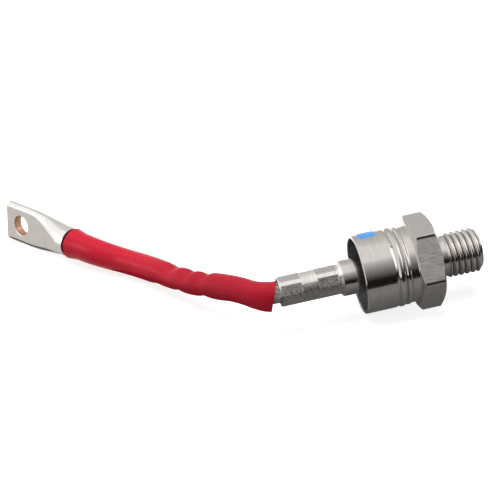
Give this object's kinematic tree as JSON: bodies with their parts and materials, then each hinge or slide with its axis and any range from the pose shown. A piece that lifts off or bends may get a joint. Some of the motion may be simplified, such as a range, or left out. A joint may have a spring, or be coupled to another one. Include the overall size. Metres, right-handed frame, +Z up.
{
  "type": "stud diode with flexible lead",
  "caption": "Stud-mounted power rectifier diode: hex base with threaded stud, welded round cap, crimped terminal tube and a red sleeved flexible lead ending in a cable lug.",
  "frame": {"origin": "middle of the hex's seating face, on the diode axis", "axes": "+X along the diode axis to the stud tip, +Z up from the table with the diode lying on a hex flat, +Y to the side that the lead runs to"},
  "size_m": [0.1689, 0.1329, 0.0302],
  "materials": {
    "nickel": "satin nickel plating",
    "seal": "dark matt seal",
    "molybdenum": "ground",
    "silicon": "polished",
    "solder": "dull",
    "silicone": "soft",
    "ptfe": "matt",
    "copper": "bare copper",
    "tinned_braid": "tinned copper wire",
    "red_pvc": "semi-gloss soft sleeve",
    "tin": "bright tin plating"
  },
  "bodies": {
    "root": {"stud_base": "nickel", "weld_ring": "nickel", "cap_shell": "nickel", "seal_insulator": "seal", "terminal_tube": "nickel", "base_solder": "solder", "lower_moly_disc": "molybdenum", "silicon_wafer": "silicon", "upper_moly_disc": "molybdenum", "junction_coat": "silicone", "centring_ring": "ptfe", "cup_solder": "solder", "contact_cup": "copper", "inner_lead": "copper", "lead_braid": "tinned_braid", "lead_sleeve": "red_pvc", "cable_lug": "tin"}
  },
  "joints": []
}
